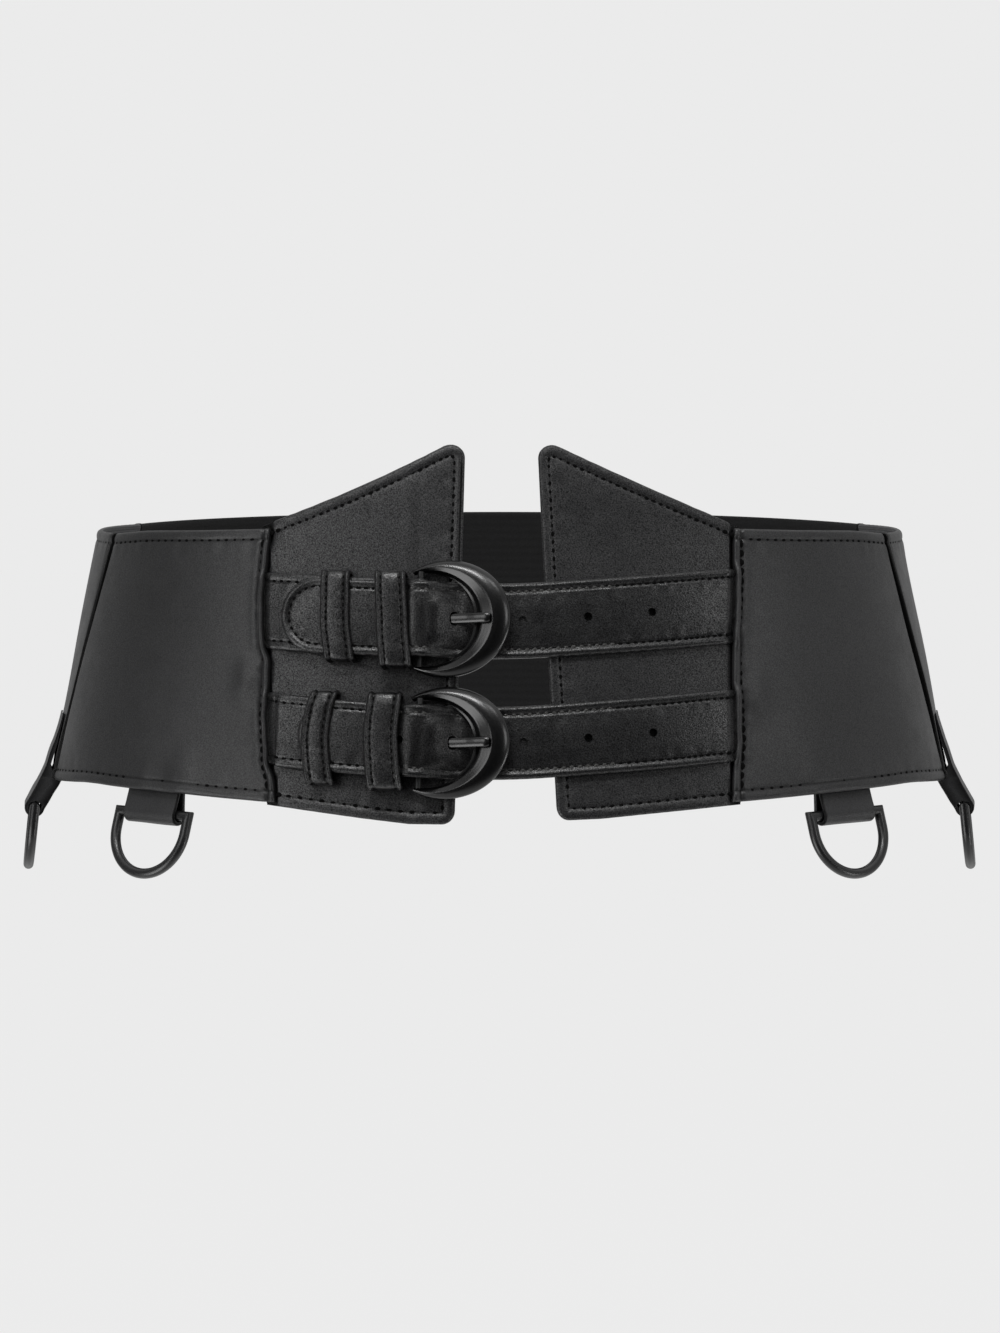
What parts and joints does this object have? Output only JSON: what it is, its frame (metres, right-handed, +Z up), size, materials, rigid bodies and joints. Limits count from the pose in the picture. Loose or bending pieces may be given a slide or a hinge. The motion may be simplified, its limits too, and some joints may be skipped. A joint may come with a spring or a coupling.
{
  "type": "waist belt",
  "caption": "Wide black faux-leather waist belt with a corset cut, closed in front by buckled straps, with D-rings on tabs along its lower edge",
  "frame": {"origin": "Centre of the waist hollow, at half the height of the side panels, where the wearer's waist passes through", "axes": "+X to the right in the front view, the way the long straps run to their seam; +Y from the buckled front to the back; +Z up"},
  "size_m": [0.2962, 0.214, 0.1325],
  "materials": {
    "panel_leather": "black faux leather with a fine grain, satin",
    "strap_leather": "black faux leather strap, smooth, satin",
    "elastic": "black woven stretch fabric, matte",
    "buckle_metal": "black enamel, high gloss",
    "ring_metal": "black lacquer, satin gloss"
  },
  "bodies": {
    "belt": {"front_panel_left": "panel_leather", "front_panel_right": "panel_leather", "side_panel_left": "panel_leather", "side_panel_right": "panel_leather", "back_side_panel_left": "panel_leather", "back_side_panel_right": "panel_leather", "elastic_back": "elastic", "upper_strap": "strap_leather", "lower_strap": "strap_leather", "upper_buckle_strap": "strap_leather", "lower_buckle_strap": "strap_leather", "upper_keeper_1": "strap_leather", "upper_keeper_2": "strap_leather", "lower_keeper_1": "strap_leather", "lower_keeper_2": "strap_leather", "upper_buckle_frame": "buckle_metal", "lower_buckle_frame": "buckle_metal", "upper_prong": "buckle_metal", "lower_prong": "buckle_metal", "ring_tab_front_left": "strap_leather", "ring_tab_front_right": "strap_leather", "ring_tab_side_left": "strap_leather", "ring_tab_side_right": "strap_leather"},
    "ring_front_left": {"d_ring_front_left": "ring_metal"},
    "ring_front_right": {"d_ring_front_right": "ring_metal"},
    "ring_side_left": {"d_ring_side_left": "ring_metal"},
    "ring_side_right": {"d_ring_side_right": "ring_metal"}
  },
  "joints": [
    {"name": "ring_front_left_swing", "type": "hinge", "parent": "belt", "child": "ring_front_left", "pos_m": [-0.10333, -0.07499, -0.04328], "axis": [-0.8011, 0.5979, 0.0262], "range_deg": [-150, 125]},
    {"name": "ring_front_right_swing", "type": "hinge", "parent": "belt", "child": "ring_front_right", "pos_m": [0.10333, -0.07499, -0.04328], "axis": [-0.8011, -0.5979, -0.0262], "range_deg": [-150, 125]},
    {"name": "ring_side_left_swing", "type": "hinge", "parent": "belt", "child": "ring_side_left", "pos_m": [-0.14421, -0.01562, -0.0454], "axis": [-0.0908, 0.9959, 0], "range_deg": [-125, 160]},
    {"name": "ring_side_right_swing", "type": "hinge", "parent": "belt", "child": "ring_side_right", "pos_m": [0.14421, -0.01562, -0.0454], "axis": [-0.0908, -0.9959, 0], "range_deg": [-125, 160]}
  ]
}
